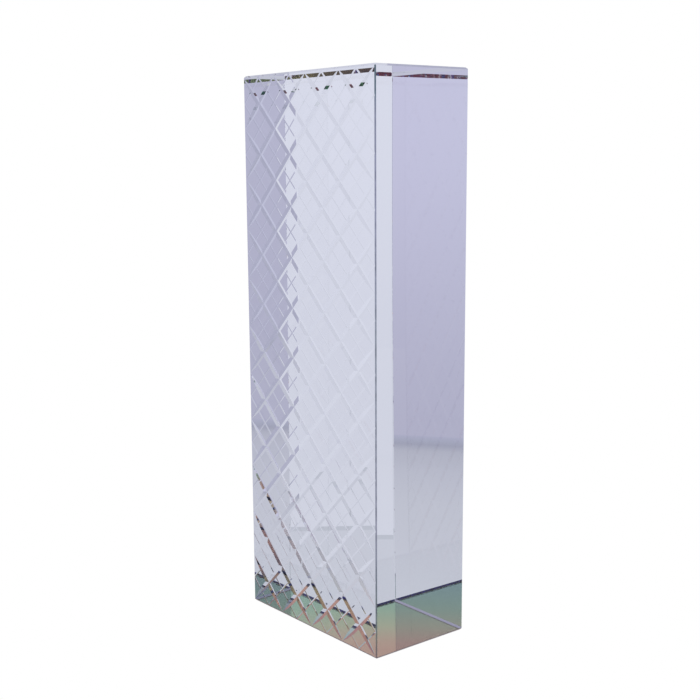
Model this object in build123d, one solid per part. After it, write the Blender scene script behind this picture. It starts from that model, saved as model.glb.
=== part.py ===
from build123d import *
import os
from math import cos, radians, sin, sqrt, tan

# Free-standing crystal award: one solid optical-crystal tower whose front face carries a wheel-cut
# diamond lattice, with a mirror coating under its base and a protective film under that.
# Millimetres, +Z up. The lattice faces -Y, and the origin is the centre of the underside.

# Tower
HEIGHT = 250.0
WIDTH = 91.0
DEPTH = 52.0
EDGE_BEVEL = 0.5        # leg of the flat ground along each upright edge
TOP_BEVEL = 0.9         # leg of the flat ground round the top
FOOT_BEVEL = 0.90       # leg of the coated flat round the foot

# Layers under the foot, from the crystal down
COATING = 0.10          # mirror coating, drawn thicker than the real deposit
FILM = 0.20             # protective film that the award stands on
FILM_MARGIN = 0.70      # the film stops this far inside the coated flat
FILM_CORNER = 2.0

# Diamond lattice on the front face
COLUMNS = 4
ROWS = 11
PITCH = 22.5            # width and height of one diamond
MAIN_CUT = 0.47         # depth of the cuts between the diamonds
MAIN_SLOPE = tan(radians(16.5))  # steepness of their two walls
FINE_CUT = 0.11         # depth of the fine cuts that cross inside each diamond
FINE_SLOPE = tan(radians(14))
WHEEL_RADIUS = 160.0    # cutting wheel, which leaves a curved run-out where it lifts
LIFT_GAP = 0.2          # a main cut has faded out this far before the lattice's outline
OVERRUN = 0.25          # how far a cutter stands out of the face
PAST_EDGE = 4.0         # how far a fine cut carries on past the edges of the face

HALF_PITCH = PITCH / 2
LATTICE_WIDTH = COLUMNS * PITCH
LATTICE_HEIGHT = ROWS * PITCH
LATTICE_LEFT = -LATTICE_WIDTH / 2
LATTICE_FOOT = (HEIGHT - LATTICE_HEIGHT) / 2
CRYSTAL_FOOT = FILM + COATING
CRYSTAL_FOOT_BEVEL = FOOT_BEVEL + COATING * (sqrt(2) - 1)
RISE = radians(45)


def bevelled_tower(foot, top, foot_bevel, top_bevel):
    """The tower's outline between two heights, with bevelled uprights, foot and top."""
    middle = Pos(0, 0, (foot + top) / 2)
    tower = middle * Box(WIDTH, DEPTH, top - foot)
    tower = chamfer(tower.faces().sort_by(Axis.Z)[0].edges(), foot_bevel)
    tower = chamfer(tower.faces().sort_by(Axis.Z)[-1].edges(), top_bevel)
    across_corners = sqrt(2) * ((WIDTH + DEPTH) / 2 - EDGE_BEVEL)
    return tower & middle * Rot(0, 0, 45) * Box(across_corners, across_corners, top - foot)


def cut_plane(side, across, up):
    """A plane square to a cut: local X runs across the cut, Y out of the face, Z along it."""
    along = Vector(side * cos(RISE), 0, sin(RISE))
    return Plane(
        origin=(side * (LATTICE_LEFT + across), -DEPTH / 2, LATTICE_FOOT + up),
        x_dir=Vector(-sin(RISE), 0, side * cos(RISE)),
        z_dir=along,
    )


def straight_cut(side, across, up, length, depth, slope):
    """A V-section bar that removes a cut of constant depth."""
    reach = (depth + OVERRUN) / slope
    section = Polygon((0, -depth), (reach, OVERRUN), (-reach, OVERRUN), align=None)
    return extrude(cut_plane(side, across, up) * section, length)


def wheel(side, across, up):
    """The main cutting wheel itself, where it drops into a cut or lifts out of it."""
    reach = (MAIN_CUT + OVERRUN) / MAIN_SLOPE
    hub = WHEEL_RADIUS - MAIN_CUT
    place = cut_plane(side, across, up)
    section = Polygon(
        (0, -MAIN_CUT), (reach, OVERRUN), (reach, hub), (-reach, hub), (-reach, OVERRUN), align=None
    )
    axle = Axis(place.from_local_coords(Vector(0, hub, 0)), place.x_dir)
    return revolve(place * section, axle)


def main_cut(side, across, up, rise):
    """The cutters of one main cut, which fades out just inside the lattice's outline."""
    run_out = sqrt(2 * WHEEL_RADIUS * MAIN_CUT)
    start = (LIFT_GAP + run_out) * sin(RISE)
    full = rise - 2 * start
    low_end = (across + start, up + start)
    high_end = (across + start + full, up + start + full)
    bar = straight_cut(side, *low_end, full / sin(RISE), MAIN_CUT, MAIN_SLOPE)
    return [bar, wheel(side, *low_end), wheel(side, *high_end)]


def fine_cut(side, across, up, rise):
    """The cutter of one fine cut, which runs off the face at both ends."""
    length = (rise + 2 * PAST_EDGE) / sin(RISE)
    return [straight_cut(side, across - PAST_EDGE, up - PAST_EDGE, length, FINE_CUT, FINE_SLOPE)]


def lattice_cuts():
    """Every cut of the lattice: both directions, main cuts on even steps and fine cuts on odd."""
    cutters = []
    for side in (1, -1):
        for step in range(1 - 2 * ROWS, 2 * COLUMNS):
            across = max(step, 0) * HALF_PITCH
            up = max(-step, 0) * HALF_PITCH
            rise = min(LATTICE_WIDTH - across, LATTICE_HEIGHT - up)
            make_cut = fine_cut if step % 2 else main_cut
            cutters += make_cut(side, across, up, rise)
    return cutters


def crystal_block():
    """The tower, ground away by every cut of the lattice."""
    return bevelled_tower(CRYSTAL_FOOT, HEIGHT, CRYSTAL_FOOT_BEVEL, TOP_BEVEL) - lattice_cuts()


def base_coating():
    """The mirror coating: an even skin over the foot and over the bevel round it."""
    outside = bevelled_tower(FILM, HEIGHT, FOOT_BEVEL, TOP_BEVEL)
    return outside - bevelled_tower(CRYSTAL_FOOT, HEIGHT, CRYSTAL_FOOT_BEVEL, TOP_BEVEL)


def backing_film():
    """The film that protects the coating, and that the award stands on."""
    inset = 2 * (FOOT_BEVEL + FILM_MARGIN)
    outline = RectangleRounded(WIDTH - inset, DEPTH - inset, FILM_CORNER)
    return extrude(outline, FILM)


NODES = {
    "crystal_block": crystal_block,
    "base_coating": base_coating,
    "backing_film": backing_film,
}

os.makedirs("parts", exist_ok=True)
for name, make in NODES.items():
    export_step(make(), f"parts/{name}.step")
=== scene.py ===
import logging
from collections.abc import Iterator, Mapping, Sequence
from dataclasses import dataclass
from enum import Enum
from math import cos, radians, sin, sqrt, tan

import bmesh
import bpy
from mathutils import Matrix, Vector


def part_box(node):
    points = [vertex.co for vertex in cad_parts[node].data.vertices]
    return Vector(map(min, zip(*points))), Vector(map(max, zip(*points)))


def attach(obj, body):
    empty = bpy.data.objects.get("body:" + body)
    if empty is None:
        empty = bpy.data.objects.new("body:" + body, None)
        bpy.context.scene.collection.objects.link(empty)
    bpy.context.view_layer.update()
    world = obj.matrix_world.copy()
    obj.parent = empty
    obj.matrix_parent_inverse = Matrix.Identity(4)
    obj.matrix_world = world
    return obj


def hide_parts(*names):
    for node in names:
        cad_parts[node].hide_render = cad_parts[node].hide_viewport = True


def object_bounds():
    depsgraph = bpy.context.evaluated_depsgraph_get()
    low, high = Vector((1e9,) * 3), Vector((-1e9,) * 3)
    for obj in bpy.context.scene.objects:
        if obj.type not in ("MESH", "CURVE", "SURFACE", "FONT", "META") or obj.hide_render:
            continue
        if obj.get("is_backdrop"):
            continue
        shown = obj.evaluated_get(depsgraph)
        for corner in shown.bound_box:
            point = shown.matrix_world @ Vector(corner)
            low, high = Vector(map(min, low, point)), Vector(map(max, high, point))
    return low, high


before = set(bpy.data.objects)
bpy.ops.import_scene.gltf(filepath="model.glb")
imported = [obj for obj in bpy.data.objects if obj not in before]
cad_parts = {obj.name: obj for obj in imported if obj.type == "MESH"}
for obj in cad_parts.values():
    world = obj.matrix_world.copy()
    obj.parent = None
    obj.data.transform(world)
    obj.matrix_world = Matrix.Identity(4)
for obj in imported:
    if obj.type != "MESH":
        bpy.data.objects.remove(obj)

CAD_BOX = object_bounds()
LOG = logging.getLogger("crystal_award")
MILLIMETRE = 0.001
CLIMB_ANGLE = radians(45)
DEEPEST_BOUNCE = 40

Colour = tuple[float, float, float]
Gradient = Sequence[tuple[float, Colour]]
WHITE: Colour = (1.0, 1.0, 1.0)


# ---------------------------------------------------------------- shader workbench


class Signal:
    """One shader socket, which can be used in arithmetic with numbers and other signals."""

    def __init__(self, bench: "Bench", socket: bpy.types.NodeSocket) -> None:
        """Wrap a socket of one of the bench's nodes."""
        self.bench = bench
        self.socket = socket

    def __add__(self, other: "Signal | float") -> "Signal":
        """Return the sum as a new signal."""
        return self.bench.maths("ADD", self, other)

    def __radd__(self, other: float) -> "Signal":
        """Return the sum with a number on the left."""
        return self.bench.maths("ADD", other, self)

    def __sub__(self, other: "Signal | float") -> "Signal":
        """Return the difference as a new signal."""
        return self.bench.maths("SUBTRACT", self, other)

    def __rsub__(self, other: float) -> "Signal":
        """Return a number less this signal."""
        return self.bench.maths("SUBTRACT", other, self)

    def __mul__(self, other: "Signal | float") -> "Signal":
        """Return the product as a new signal."""
        return self.bench.maths("MULTIPLY", self, other)

    def __rmul__(self, other: float) -> "Signal":
        """Return the product with a number on the left."""
        return self.bench.maths("MULTIPLY", other, self)

    def __abs__(self) -> "Signal":
        """Return the size of the signal without its sign."""
        return self.bench.maths("ABSOLUTE", self)

    def above(self, edge: float, soft: float) -> "Signal":
        """Return 0 below an edge and 1 above it, with a soft step between.

        Args:
            edge: the value at the middle of the step.
            soft: how far the step spreads to each side.

        Returns:
            A signal from 0 to 1.
        """
        settings = {"interpolation_type": "SMOOTHSTEP"}
        values = {"Value": self, "From Min": edge - soft, "From Max": edge + soft}
        return self.bench.signal("ShaderNodeMapRange", settings, values, "Result")


class Bench:
    """Makes and wires the nodes of one material or of the world."""

    # A Mix node keeps a set of sockets for each kind of value; these are the ones for colours.
    SHARE, FIRST_COLOUR, SECOND_COLOUR = 0, 6, 7
    MIXED_COLOUR = 2

    def __init__(self, tree: bpy.types.NodeTree) -> None:
        """Start on an empty node tree.

        Args:
            tree: the node tree of a material or a world.
        """
        self.tree = tree
        tree.nodes.clear()

    def node(
        self, kind: str, settings: Mapping | None = None, values: Mapping | None = None
    ) -> bpy.types.Node:
        """Make a node, choose its options, then fill or link its sockets.

        Args:
            kind: the node's type, such as "ShaderNodeTexNoise".
            settings: node options by name; "stops" fills a colour ramp with (place, colour) pairs.
            values: numbers, colours, signals or sockets by socket name or number.

        Returns:
            The new node.
        """
        made = self.tree.nodes.new(kind)
        for name, option in (settings or {}).items():
            if name == "stops":
                self._fill_ramp(made.color_ramp, option)
            else:
                setattr(made, name, option)
        for name, value in (values or {}).items():
            socket = made.inputs[name]
            if isinstance(value, Signal):
                value = value.socket
            if isinstance(value, bpy.types.NodeSocket):
                self.tree.links.new(value, socket)
            else:
                socket.default_value = value
        return made

    @staticmethod
    def _fill_ramp(ramp: bpy.types.ColorRamp, stops: Gradient) -> None:
        """Put the stops of a gradient on a colour ramp.

        Args:
            ramp: a new colour ramp.
            stops: the gradient's places, from 0 to 1, with their colours.
        """
        while len(ramp.elements) < len(stops):
            ramp.elements.new(1.0)
        for element, (place, colour) in zip(ramp.elements, stops):
            element.position = place
            element.color = (*colour, 1.0)

    def signal(self, kind: str, settings: Mapping, values: Mapping, output: str | int) -> Signal:
        """Make a node and return one of its outputs as a signal."""
        return Signal(self, self.node(kind, settings, values).outputs[output])

    def maths(self, operation: str, *terms: "Signal | float") -> Signal:
        """Return the result of one Math node."""
        values = dict(enumerate(terms))
        return self.signal("ShaderNodeMath", {"operation": operation}, values, 0)

    def place(self) -> tuple[Signal, Signal, Signal]:
        """Give the shaded point in the object's own frame.

        Returns:
            Its three coordinates, in metres.
        """
        here = self.node("ShaderNodeTexCoord")
        split = self.node("ShaderNodeSeparateXYZ", {}, {0: here.outputs["Object"]})
        return tuple(Signal(self, split.outputs[axis]) for axis in range(3))

    def along(self, place: bpy.types.NodeSocket, way: Vector) -> Signal:
        """Return how far a place or a direction reaches along another direction."""
        values = {0: place, 1: way}
        return self.signal("ShaderNodeVectorMath", {"operation": "DOT_PRODUCT"}, values, "Value")

    def noise(self, scale: float, detail: float = 2.0) -> Signal:
        """Make soft noise that stays put on the object.

        Args:
            scale: how many grains there are to the metre.
            detail: how many finer layers are added.

        Returns:
            A signal from 0 to 1.
        """
        here = self.node("ShaderNodeTexCoord")
        values = {"Vector": here.outputs["Object"], "Scale": scale, "Detail": detail}
        return self.signal("ShaderNodeTexNoise", {}, values, "Fac")

    def blend(self, share: "Signal | float", first: object, second: object) -> bpy.types.NodeSocket:
        """Return a colour between two colours.

        Args:
            share: 0 for the first colour, 1 for the second.
            first: a colour or a colour socket.
            second: a colour or a colour socket.

        Returns:
            The colour socket of a Mix node.
        """
        values = {
            self.SHARE: share,
            self.FIRST_COLOUR: _opaque(first),
            self.SECOND_COLOUR: _opaque(second),
        }
        return self.node("ShaderNodeMix", {"data_type": "RGBA"}, values).outputs[self.MIXED_COLOUR]

    def ramp(self, drive: Signal, stops: Gradient) -> bpy.types.NodeSocket:
        """Return the colour at a place on a gradient, where drive runs from 0 to 1."""
        return self.node("ShaderNodeValToRGB", {"stops": stops}, {0: drive}).outputs["Color"]

    def finish_surface(self, shader: bpy.types.NodeSocket) -> None:
        """Send a shader to the material's output."""
        self.node("ShaderNodeOutputMaterial", {}, {"Surface": shader})


def _opaque(colour: object) -> object:
    """Give a plain colour its fourth number and leave a socket as it is."""
    return (*colour, 1.0) if isinstance(colour, tuple) else colour


def shaded(colour: Colour, share: float) -> Colour:
    """Return a colour with its light turned down to a share."""
    return tuple(share * part for part in colour)


def new_material(name: str) -> tuple[bpy.types.Material, Bench]:
    """Start an empty node material.

    Args:
        name: the material's name.

    Returns:
        The material, and the bench that builds its nodes.
    """
    material = bpy.data.materials.new(name)
    material.use_nodes = True
    return material, Bench(material.node_tree)


# ---------------------------------------------------------------- finishes


@dataclass(frozen=True)
class PolishedCrystal:
    """Clear optical crystal, a trace greyer where it has been handled."""

    name: str = "polished_crystal"
    refraction: float = 1.55
    tint: Colour = (0.987, 0.993, 1.0)
    handled_tint: Colour = (0.978, 0.985, 0.996)
    handled_grain: float = 45.0
    handled_detail: float = 4.0
    handled_from: float = 0.60
    handled_blur: float = 0.14

    def make(self) -> bpy.types.Material:
        """Build the finish.

        Returns:
            A clear glass, ready for the block.
        """
        material, bench = new_material(self.name)
        cloud = bench.noise(self.handled_grain, self.handled_detail)
        handled = cloud.above(self.handled_from, self.handled_blur)
        values = {
            "Base Color": bench.blend(handled, self.tint, self.handled_tint),
            "IOR": self.refraction,
            "Transmission Weight": 1.0,
            "Roughness": 0.0,
        }
        bench.finish_surface(bench.node("ShaderNodeBsdfPrincipled", {}, values).outputs[0])
        return material


@dataclass(frozen=True)
class IridescentMirror:
    """A dichroic mirror coating, whose colour turns with the angle that it is seen at."""

    name: str
    by_angle: Gradient
    lower_edge: float | None = None
    edge_line: float = 0.18 * MILLIMETRE
    edge_blur: float = 0.15
    edge_colour: Colour = (0.09, 0.07, 0.035)
    wander: float = 0.0006
    wander_grain: float = 18.0

    def make(self) -> bpy.types.Material:
        """Build the finish.

        Returns:
            A metal that mirrors the listed share of light at each angle, where 0 faces the eye
            and 1 is edge on, with a dark line along its lower edge if it has one.
        """
        material, bench = new_material(self.name)
        stops = [(facing, self.base_colour(facing, share)) for facing, share in self.by_angle]
        facing = bench.signal("ShaderNodeLayerWeight", {}, {"Blend": 0.5}, "Facing")
        uneven = facing + (bench.noise(self.wander_grain) - 0.5) * self.wander
        colour = bench.ramp(uneven, stops)
        if self.lower_edge is not None:
            height = bench.place()[2]
            line = height.above(self.lower_edge + self.edge_line, self.edge_blur * self.edge_line)
            colour = bench.blend(line, self.edge_colour, colour)
        values = {"Base Color": colour, "Metallic": 1.0, "Roughness": 0.0}
        bench.finish_surface(bench.node("ShaderNodeBsdfPrincipled", {}, values).outputs[0])
        return material

    @staticmethod
    def base_colour(facing: float, share: Colour) -> Colour:
        """Return the base colour that gives a metal this share of mirrored light at an angle.

        Args:
            facing: 0 for a surface seen straight on, 1 for one seen edge on.
            share: the share of red, green and blue light that it should mirror there.

        Returns:
            The share with the metal's own rise towards the edge taken out.
        """
        rise = facing**5
        return tuple(max(0.0, (part - rise) / (1 - rise)) for part in share)


@dataclass(frozen=True)
class GroundEdge:
    """The satin finish of a ground edge, with painted reflections of the foot coating's colours near the
    foot and of the top's colours near the top.
    """

    foot: float
    height: float
    name: str = "ground_edge"
    # Colour up the edge, from the foot (0) to the top (1). The reddish, olive and green near the foot and
    # the teal near the top are painted reflections of the coating and the top, with a pale lavender grey
    # between.
    tone_and_painted_reflection_by_height: Gradient = (
        (0.00, (0.33, 0.22, 0.20)),
        (0.03, (0.36, 0.31, 0.23)),
        (0.055, (0.30, 0.37, 0.30)),
        (0.095, (0.30, 0.35, 0.33)),
        (0.15, (0.36, 0.40, 0.42)),
        (0.22, (0.60, 0.61, 0.66)),
        (0.55, (0.62, 0.68, 0.68)),
        (0.80, (0.66, 0.68, 0.78)),
        (0.93, (0.60, 0.64, 0.72)),
        (0.955, (0.30, 0.42, 0.44)),
        (1.00, (0.22, 0.34, 0.34)),
    )
    mottle_grain: float = 260.0
    mottle_from: float = 0.55
    mottle_blur: float = 0.25
    mottle_strength: float = 0.45
    mottle_colour: Colour = (0.10, 0.12, 0.13)
    roughness: float = 0.25
    rougher: float = 0.2

    def make(self) -> bpy.types.Material:
        """Build the finish.

        Returns:
            A mottled satin, coloured up the edge from the foot to the top: painted reflections of the
            coating near the foot and of the top near the top, with a pale lavender grey between.
        """
        material, bench = new_material(self.name)
        up = (bench.place()[2] - self.foot) * (1 / self.height)
        cloud = bench.noise(self.mottle_grain)
        mottle = cloud.above(self.mottle_from, self.mottle_blur) * self.mottle_strength
        # Base colour: the painted reflections by height, under a random dark mottle.
        values = {
            "Base Color": bench.blend(mottle, bench.ramp(up, self.tone_and_painted_reflection_by_height), self.mottle_colour),
            "Roughness": self.roughness + self.rougher * cloud,
        }
        bench.finish_surface(bench.node("ShaderNodeBsdfPrincipled", {}, values).outputs[0])
        return material


@dataclass(frozen=True)
class CoatingBack:
    """The outside of the mirror coating, a thin satin layer."""

    name: str = "coating_back"
    colour: Colour = (0.42, 0.31, 0.28)
    shade: float = 0.7
    grain: float = 400.0
    metal: float = 0.4
    roughness: float = 0.3
    rougher: float = 0.2

    def make(self) -> bpy.types.Material:
        """Build the finish.

        Returns:
            A cloudy satin between metal and lacquer.
        """
        material, bench = new_material(self.name)
        cloud = bench.noise(self.grain)
        values = {
            "Base Color": bench.blend(cloud, shaded(self.colour, self.shade), self.colour),
            "Metallic": self.metal,
            "Roughness": self.roughness + self.rougher * cloud,
        }
        bench.finish_surface(bench.node("ShaderNodeBsdfPrincipled", {}, values).outputs[0])
        return material


# The share of light that the coating mirrors, from 0 for seen straight on to 1 for edge on.
FOOT_BY_ANGLE: Gradient = (
    (0.00, (0.22, 0.04, 0.05)),
    (0.105, (0.20, 0.035, 0.052)),
    (0.122, (0.15, 0.06, 0.045)),
    (0.131, (0.134, 0.086, 0.039)),
    (0.140, (0.20, 0.16, 0.048)),
    (0.150, (0.14, 0.20, 0.061)),
    (0.20, (0.08, 0.24, 0.12)),
    (0.28, (0.06, 0.14, 0.28)),
    (0.40, (0.22, 0.10, 0.34)),
    (0.52, (0.46, 0.28, 0.38)),
    (0.60, (0.46, 0.26, 0.24)),
    (0.650, (0.50, 0.25, 0.21)),
    (0.662, (0.61, 0.33, 0.23)),
    (0.674, (0.58, 0.33, 0.22)),
    (0.683, (0.50, 0.36, 0.18)),
    (0.690, (0.36, 0.32, 0.15)),
    (0.700, (0.24, 0.18, 0.12)),
    (0.712, (0.46, 0.26, 0.19)),
    (0.724, (0.32, 0.22, 0.22)),
    (0.732, (0.60, 0.50, 0.30)),
    (0.740, (0.57, 0.355, 0.26)),
    (0.7465, (0.56, 0.405, 0.285)),
    (0.754, (0.46, 0.485, 0.315)),
    (0.763, (0.335, 0.495, 0.345)),
    (0.775, (0.30, 0.46, 0.39)),
    (0.795, (0.34, 0.44, 0.42)),
    (0.825, (0.44, 0.53, 0.49)),
    (0.857, (0.52, 0.60, 0.54)),
    (0.880, (0.84, 0.87, 0.88)),
    (0.980, (1.0, 1.0, 1.0)),
)
BEVEL_BY_ANGLE: Gradient = (
    (0.00, (0.04, 0.035, 0.15)),
    (0.36, (0.03, 0.03, 0.14)),
    (0.44, (0.10, 0.16, 0.30)),
    (0.52, (0.56, 0.56, 0.62)),
    (0.70, (0.60, 0.58, 0.64)),
    (0.980, (1.0, 1.0, 1.0)),
)


@dataclass(frozen=True)
class SatinFilm:
    """Grey protective film with a fine embossed grain."""

    name: str = "satin_film"
    colour: Colour = (0.20, 0.21, 0.23)
    shade: float = 0.8
    cloud_grain: float = 90.0
    emboss_grain: float = 1800.0
    emboss_strength: float = 0.2
    emboss_depth: float = 0.05 * MILLIMETRE
    roughness: float = 0.35
    rougher: float = 0.2

    def make(self) -> bpy.types.Material:
        """Build the finish.

        Returns:
            A grey satin plastic, slightly cloudy, with a fine emboss.
        """
        material, bench = new_material(self.name)
        grain = bench.noise(self.emboss_grain)
        cloud = bench.noise(self.cloud_grain)
        relief = {"Strength": self.emboss_strength, "Distance": self.emboss_depth, "Height": grain}
        values = {
            "Base Color": bench.blend(cloud, shaded(self.colour, self.shade), self.colour),
            "Roughness": self.roughness + self.rougher * grain,
            "Normal": bench.node("ShaderNodeBump", {}, relief).outputs[0],
        }
        bench.finish_surface(bench.node("ShaderNodeBsdfPrincipled", {}, values).outputs[0])
        return material


# ---------------------------------------------------------------- mesh helpers


def object_from(name: str, data: bpy.types.ID) -> bpy.types.Object:
    """Put a mesh or a camera in the scene.

    Args:
        name: the object's name.
        data: what the object shows.

    Returns:
        The new object, at the origin.
    """
    made = bpy.data.objects.new(name, data)
    bpy.context.scene.collection.objects.link(made)
    return made


def grind_flat(block: bmesh.types.BMesh, point: Vector, normal: Vector) -> None:
    """Grind a flat across a convex block, and close the block along it.

    Args:
        block: the block's mesh, which is changed.
        point: a point on the flat.
        normal: the direction that the flat faces, away from what stays.
    """
    everything = block.verts[:] + block.edges[:] + block.faces[:]
    cut = bmesh.ops.bisect_plane(
        block, geom=everything, plane_co=point, plane_no=normal, clear_outer=True
    )
    rim = [item for item in cut["geom_cut"] if isinstance(item, bmesh.types.BMEdge)]
    bmesh.ops.contextual_create(block, geom=rim)


def mesh_from(name: str, shape: bmesh.types.BMesh) -> bpy.types.Mesh:
    """Turn a working shape into a mesh with its faces outwards, and free the shape.

    Args:
        name: the mesh's name.
        shape: the working shape.

    Returns:
        The new mesh.
    """
    bmesh.ops.recalc_face_normals(shape, faces=shape.faces)
    mesh = bpy.data.meshes.new(name)
    shape.to_mesh(mesh)
    shape.free()
    return mesh


# ---------------------------------------------------------------- the award's pieces


class Climb(Enum):
    """Which way a cut climbs across the front face, as the sign of its sideways run."""

    TO_THE_RIGHT = 1
    TO_THE_LEFT = -1


class CutKind(Enum):
    """The two wheels: one cuts between the diamonds, the other crosses inside them."""

    MAIN = "main"
    FINE = "fine"


class Surface(Enum):
    """The block's surfaces, by the place of their finish in its list of materials."""

    POLISHED = 0
    COATED_FOOT = 1
    COATED_BEVEL = 2
    GROUND_EDGE = 3


@dataclass(frozen=True)
class Cut:
    """One straight cut of the lattice, from its lower end."""

    kind: CutKind
    across: float
    up: float
    rise: float


@dataclass
class CrystalTower:
    """The solid crystal block with its wheel-cut lattice, in metres."""

    low: Vector
    high: Vector
    edge_bevel: float = 0.5 * MILLIMETRE
    top_bevel: float = 0.9 * MILLIMETRE
    foot_bevel: float = 0.95 * MILLIMETRE  # the mirror on it has to stand clear of the coating
    columns: int = 4
    rows: int = 11
    pitch: float = 22.5 * MILLIMETRE
    main_depth: float = 0.47 * MILLIMETRE
    main_slope: float = tan(radians(16.5))
    fine_depth: float = 0.11 * MILLIMETRE
    fine_slope: float = tan(radians(14))
    wheel_radius: float = 160 * MILLIMETRE
    lift_gap: float = 0.2 * MILLIMETRE
    overrun: float = 0.25 * MILLIMETRE
    past_edge: float = 4 * MILLIMETRE
    run_out_steps: int = 24
    foot_clearance: float = 0.01 * MILLIMETRE
    facing_down: float = -0.5
    facing_straight_down: float = -0.9
    in_line: float = 0.01

    def build(self) -> bpy.types.Object:
        """Build the block and cut the lattice into its front face.

        Returns:
            The finished block, undressed.
        """
        tower = object_from("crystal_tower", self.outline())
        for climb in Climb:
            bars = object_from("cutting_bars", self.cutting_bars(climb))
            tower.data = self.ground_away(tower, bars)
            bpy.data.objects.remove(bars)
        return tower

    def outline(self) -> bpy.types.Mesh:
        """Build the plain block with its edges ground.

        Returns:
            A closed convex mesh, its foot just clear of the coating below it.
        """
        foot = Vector((0, 0, self.foot_clearance))
        low, high = self.low + foot, self.high
        size, middle = high - low, (high + low) / 2
        block = bmesh.new()
        bmesh.ops.create_cube(block, size=1.0, matrix=Matrix.LocRotScale(middle, None, size))
        for point, normal in self.bevels(middle, size / 2):
            grind_flat(block, point, normal)
        return mesh_from("crystal_tower", block)

    def bevels(self, middle: Vector, half: Vector) -> Iterator[tuple[Vector, Vector]]:
        """Give a point and a direction for every flat ground along an edge.

        Args:
            middle: the block's centre.
            half: half of its size.

        Yields:
            A point on the flat, and the direction it faces.
        """
        for end, bevel in ((-1, self.foot_bevel), (1, self.top_bevel)):
            for side in (-1, 1):
                rim_x = Vector((side * (half.x - bevel), 0, end * half.z))
                yield middle + rim_x, Vector((side, 0, end))
                rim_y = Vector((0, side * (half.y - bevel), end * half.z))
                yield middle + rim_y, Vector((0, side, end))
                upright = Vector((side * (half.x - self.edge_bevel), end * half.y, 0))
                yield middle + upright, Vector((side, end, 0))

    def cuts(self) -> Iterator[Cut]:
        """List the cuts that climb one way, main and fine in turn.

        Yields:
            Each cut, placed from the lattice's lower corner on the side it climbs from.
        """
        half = self.pitch / 2
        for step in range(1 - 2 * self.rows, 2 * self.columns):
            across, up = max(step, 0) * half, max(-step, 0) * half
            rise = min(self.columns * self.pitch - across, self.rows * self.pitch - up)
            yield Cut(CutKind.FINE if step % 2 else CutKind.MAIN, across, up, rise)

    def stations(self, cut: Cut) -> Iterator[tuple[float, float]]:
        """Follow the wheel along a cut.

        Args:
            cut: the cut.

        Yields:
            How far up the wheel is from the cut's lower end, and how deep it cuts there.
        """
        if cut.kind is CutKind.FINE:
            yield -self.past_edge, self.fine_depth
            yield cut.rise + self.past_edge, self.fine_depth
            return
        run_out = sqrt(2 * self.wheel_radius * self.main_depth)
        clear = sqrt(2 * self.wheel_radius * (self.main_depth + self.overrun / 2))
        low_end = []
        for step in range(self.run_out_steps, -1, -1):
            back = clear * step / self.run_out_steps
            up = (self.lift_gap + run_out - back) * sin(CLIMB_ANGLE)
            low_end.append((up, self.main_depth - back**2 / (2 * self.wheel_radius)))
        yield from low_end
        for up, depth in reversed(low_end):
            yield cut.rise - up, depth

    def cutting_bars(self, climb: Climb) -> bpy.types.Mesh:
        """Build the V-shaped bars of glass that the wheel takes away in one direction.

        Args:
            climb: which way the cuts climb.

        Returns:
            A mesh of closed bars, a little proud of the front face.
        """
        side = climb.value
        middle = (self.low.x + self.high.x) / 2
        left = middle - side * self.columns * self.pitch / 2
        foot = (self.high.z - self.rows * self.pitch) / 2
        sideways = Vector((-1, 0, side)).normalized()
        bars = bmesh.new()
        for cut in self.cuts():
            slope = self.main_slope if cut.kind is CutKind.MAIN else self.fine_slope
            rings = []
            for up, depth in self.stations(cut):
                x = left + side * (cut.across + up)
                centre = Vector((x, self.low.y, foot + cut.up + up))
                reach = (depth + self.overrun) / slope
                top = centre - Vector((0, self.overrun, 0))
                corners = (centre + Vector((0, depth, 0)), top - sideways * reach, top + sideways * reach)
                rings.append([bars.verts.new(corner) for corner in corners])
            for lower, upper in zip(rings, rings[1:]):
                for corner in range(3):
                    after = (corner + 1) % 3
                    bars.faces.new((lower[corner], lower[after], upper[after], upper[corner]))
            bars.faces.new(rings[0])
            bars.faces.new(rings[-1])
        return mesh_from("cutting_bars", bars)

    @staticmethod
    def ground_away(tower: bpy.types.Object, bars: bpy.types.Object) -> bpy.types.Mesh:
        """Take the bars out of the tower.

        Args:
            tower: the tower so far.
            bars: the bars of one direction.

        Returns:
            The tower's new mesh.
        """
        cut = tower.modifiers.new("cut", "BOOLEAN")
        cut.operation, cut.solver, cut.object = "DIFFERENCE", "EXACT", bars
        ready = tower.evaluated_get(bpy.context.evaluated_depsgraph_get())
        mesh = bpy.data.meshes.new_from_object(ready)
        tower.modifiers.remove(cut)
        return mesh

    def dress(
        self, tower: bpy.types.Object, finishes: Mapping[Surface, bpy.types.Material]
    ) -> None:
        """Give each of the block's surfaces its finish.

        Args:
            tower: the finished block.
            finishes: the finish of every surface.
        """
        tower.data.materials.clear()
        for surface in Surface:
            tower.data.materials.append(finishes[surface])
        for polygon in tower.data.polygons:
            polygon.material_index = self.surface_of(polygon).value

    def surface_of(self, polygon: bpy.types.MeshPolygon) -> Surface:
        """Tell which surface of the block a face belongs to.

        Args:
            polygon: a face of the finished block.

        Returns:
            The surface.
        """
        normal = polygon.normal
        if normal.z < self.facing_straight_down:
            return Surface.COATED_FOOT
        if normal.z < self.facing_down:
            return Surface.COATED_BEVEL
        upright = abs(normal.z) < self.in_line
        halfway_to_a_side = abs(abs(normal.x) + normal.y) < self.in_line
        return Surface.GROUND_EDGE if upright and halfway_to_a_side else Surface.POLISHED


# ---------------------------------------------------------------- studio


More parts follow.
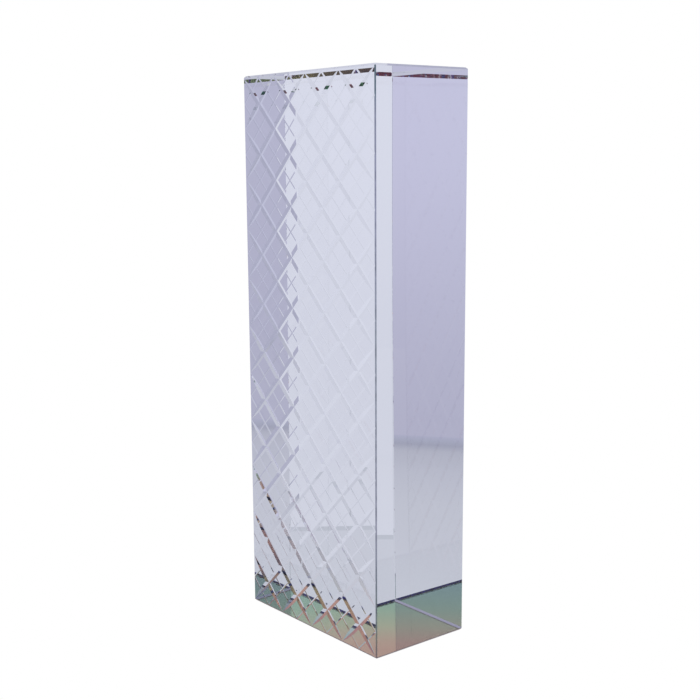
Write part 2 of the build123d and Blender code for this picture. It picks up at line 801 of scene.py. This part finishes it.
@dataclass(frozen=True)
class StudioLight:
    """A soft pale surround: brightest behind the award, lavender to the sides.

    The soft steps hold the middle of the step and its spread: by height in low_down and high_up,
    and sideways in to_one_side, where 1 is straight up or straight to the side.
    """

    backdrop_from: Vector
    tones: Gradient = (
        (0.00, (0.38, 0.385, 0.51)),
        (0.21, (0.41, 0.415, 0.55)),
        (0.355, (0.455, 0.455, 0.60)),
        (0.475, (0.54, 0.55, 0.715)),
        (0.585, (0.565, 0.56, 0.74)),
        (0.80, (0.65, 0.66, 0.79)),
        (0.97, (0.72, 0.74, 0.845)),
    )
    low_loss: float = 0.09
    low_loss_on_the_left: float = 0.15
    low_down: tuple[float, float] = (-0.10, 0.16)
    high_up: tuple[float, float] = (0.34, 0.08)
    to_one_side: tuple[float, float] = (0.5, 0.4)
    sky_on_the_left: Colour = (0.52, 0.51, 0.645)
    sky_on_the_right: Colour = (0.37, 0.385, 0.44)

    def build(self) -> None:
        """Build the world: white to the camera, and toned to everything that the crystal shows."""
        world = bpy.data.worlds.new("studio")
        world.use_nodes = True
        bpy.context.scene.world = world
        bench = Bench(world.node_tree)
        way = bench.node("ShaderNodeTexCoord").outputs["Generated"]
        height = Signal(bench, bench.node("ShaderNodeSeparateXYZ", {}, {0: way}).outputs[2])
        ahead = bench.along(way, self.backdrop_from)
        leftward = bench.along(way, Vector((-self.backdrop_from.y, self.backdrop_from.x, 0)))
        loss = self.low_loss + self.low_loss_on_the_left * leftward.above(*self.to_one_side)
        strength = 1.0 - loss * (1.0 - height.above(*self.low_down))
        surround = bench.ramp(ahead * 0.5 + 0.5, self.tones)
        for share, sky in ((leftward, self.sky_on_the_left), (leftward * -1, self.sky_on_the_right)):
            high = share.above(*self.to_one_side) * height.above(*self.high_up)
            surround = bench.blend(high, surround, sky)
        direct = Signal(bench, bench.node("ShaderNodeLightPath").outputs["Is Camera Ray"])
        colour = bench.blend(direct, surround, WHITE)
        lit = bench.maths("MAXIMUM", strength, direct)
        glow = bench.node("ShaderNodeBackground", {}, {"Color": colour, "Strength": lit})
        bench.node("ShaderNodeOutputWorld", {}, {"Surface": glow.outputs[0]})


@dataclass(frozen=True)
class TableTop:
    """The plain pale table that the award stands on, square to the camera, with painted shade darkening
    it towards its edges and painted shadow lines along them.
    """

    corner: Vector
    ahead: Vector
    behind: float = 0.206
    aside: float = 0.360
    before: float = 0.700
    # Painted shade across the table, from its middle (0) to its side edges (1): darker towards the edges,
    # with a painted shadow line near each edge.
    tones: Gradient = (
        (0.00, (0.58, 0.60, 0.685)),
        (0.28, (0.54, 0.555, 0.64)),
        (0.48, (0.525, 0.54, 0.625)),
        (0.72, (0.483, 0.495, 0.59)),
        (0.83, (0.45, 0.46, 0.55)),
        (0.875, (0.42, 0.43, 0.52)),
        (0.925, (0.33, 0.34, 0.44)),
        (0.96, (0.36, 0.375, 0.49)),
        (1.00, (0.40, 0.405, 0.545)),
    )
    # A painted shadow line along the table's back edge: its width, blur and darker colour.
    back_line: float = 0.008
    back_line_blur: float = 0.001
    painted_back_shadow_tone: Colour = (0.50, 0.525, 0.60)

    def build(self) -> bpy.types.Object:
        """Build the table top and its pale finish.

        Returns:
            The table top, as part of the stage.
        """
        left = Vector((-self.ahead.y, self.ahead.x, 0))
        corners = [
            self.corner + self.ahead * forward + left * sideways
            for forward, sideways in (
                (self.behind, self.aside),
                (self.behind, -self.aside),
                (-self.before, -self.aside),
                (-self.before, self.aside),
            )
        ]
        mesh = bpy.data.meshes.new("table_top")
        mesh.from_pydata([tuple(corner) for corner in corners], [], [(0, 3, 2, 1)])
        table = object_from("table_top", mesh)
        mesh.materials.append(self.finish(left))
        table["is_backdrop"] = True
        return table

    def finish(self, left: Vector) -> bpy.types.Material:
        """Build the table's finish.

        Args:
            left: the level direction to the camera's left.

        Returns:
            A pale glow, white to the camera and shaded towards the table's edges elsewhere.
        """
        material, bench = new_material("pale_table")
        here = bench.node("ShaderNodeTexCoord").outputs["Object"]
        sideways = bench.along(here, left) - self.corner.dot(left)
        forward = bench.along(here, self.ahead) - self.corner.dot(self.ahead)
        # Painted shade: darker towards the table's side edges, with a painted shadow line near each edge.
        tone = bench.ramp(abs(sideways) * (1 / self.aside), self.tones)
        # Painted shadow line along the table's back edge.
        on_painted_back_shadow = forward.above(self.behind - self.back_line, self.back_line_blur)
        toned = bench.blend(on_painted_back_shadow, tone, self.painted_back_shadow_tone)
        direct = bench.node("ShaderNodeLightPath").outputs["Is Camera Ray"]
        colour = bench.blend(Signal(bench, direct), toned, WHITE)
        glow = bench.node("ShaderNodeEmission", {}, {"Color": colour, "Strength": 1.0})
        bench.finish_surface(glow.outputs[0])
        return material


@dataclass(frozen=True)
class Viewpoint:
    """The camera, placed from the award's near lower corner in heights of the award."""

    corner: Vector
    height: float
    stand: Vector = Vector((1.4480, -1.2555, 0.8546))
    turn: float = radians(51.974)
    tip: float = radians(-10.321)
    tilt: float = radians(-0.650)
    lens: float = 60.74
    sensor: float = 36.0
    shift_x: float = 0.0473
    shift_y: float = 0.0317
    nearest: float = 0.01
    furthest: float = 50.0

    def ahead(self) -> Vector:
        """Return the level direction that the camera looks along."""
        return Vector((-sin(self.turn), cos(self.turn), 0))

    def build(self) -> bpy.types.Object:
        """Build the camera and look through it.

        Returns:
            The camera.
        """
        data = bpy.data.cameras.new("camera")
        data.lens, data.sensor_width = self.lens, self.sensor
        data.shift_x, data.shift_y = self.shift_x, self.shift_y
        data.clip_start, data.clip_end = self.nearest, self.furthest
        camera = object_from("camera", data)
        aim = Matrix.Rotation(self.turn, 4, "Z") @ Matrix.Rotation(radians(90) + self.tip, 4, "X")
        aim = aim @ Matrix.Rotation(self.tilt, 4, "Z")
        camera.matrix_world = Matrix.Translation(self.corner + self.stand * self.height) @ aim
        bpy.context.scene.camera = camera
        return camera


def allow_deep_reflections() -> None:
    """Let light bounce often enough inside the crystal, and show its tones unaltered."""
    cycles = bpy.context.scene.cycles
    cycles.max_bounces = DEEPEST_BOUNCE
    cycles.glossy_bounces = DEEPEST_BOUNCE
    cycles.transmission_bounces = DEEPEST_BOUNCE
    bpy.context.scene.view_settings.view_transform = "Standard"


def write_sizes() -> None:
    """Put the CAD box and the visual model's box into plain numbers, which are not written anywhere."""
    boxes = {"cad": CAD_BOX, "visual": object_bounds()}
    plain = {name: [list(corner) for corner in box] for name, box in boxes.items()}


def main() -> None:
    """Build the award and its studio, piece by piece."""
    low, high = CAD_BOX
    near_corner = Vector((high.x, low.y, low.z))
    viewpoint = Viewpoint(near_corner, high.z - low.z)
    viewpoint.build()
    StudioLight(viewpoint.ahead()).build()
    TableTop(near_corner, viewpoint.ahead()).build()
    allow_deep_reflections()

    foot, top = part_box("crystal_block")
    tower = CrystalTower(foot, top)
    finishes = {
        Surface.COATED_FOOT: IridescentMirror("coated_foot", FOOT_BY_ANGLE).make(),
        Surface.COATED_BEVEL: IridescentMirror("coated_bevel", BEVEL_BY_ANGLE, foot.z).make(),
        Surface.GROUND_EDGE: GroundEdge(foot.z, top.z - foot.z).make(),
        Surface.POLISHED: PolishedCrystal().make(),
    }
    piece = tower.build()
    tower.dress(piece, finishes)
    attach(piece, "root")
    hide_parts("crystal_block")
    LOG.info("crystal tower: %d faces", len(piece.data.polygons))

    for node, finish in (("base_coating", CoatingBack().make()), ("backing_film", SatinFilm().make())):
        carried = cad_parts[node]
        carried.data.materials.clear()
        carried.data.materials.append(finish)
        LOG.info("%s: finished with %s", node, finish.name)
    write_sizes()


if __name__ == "__main__":
    logging.basicConfig(level=logging.INFO)
    main()
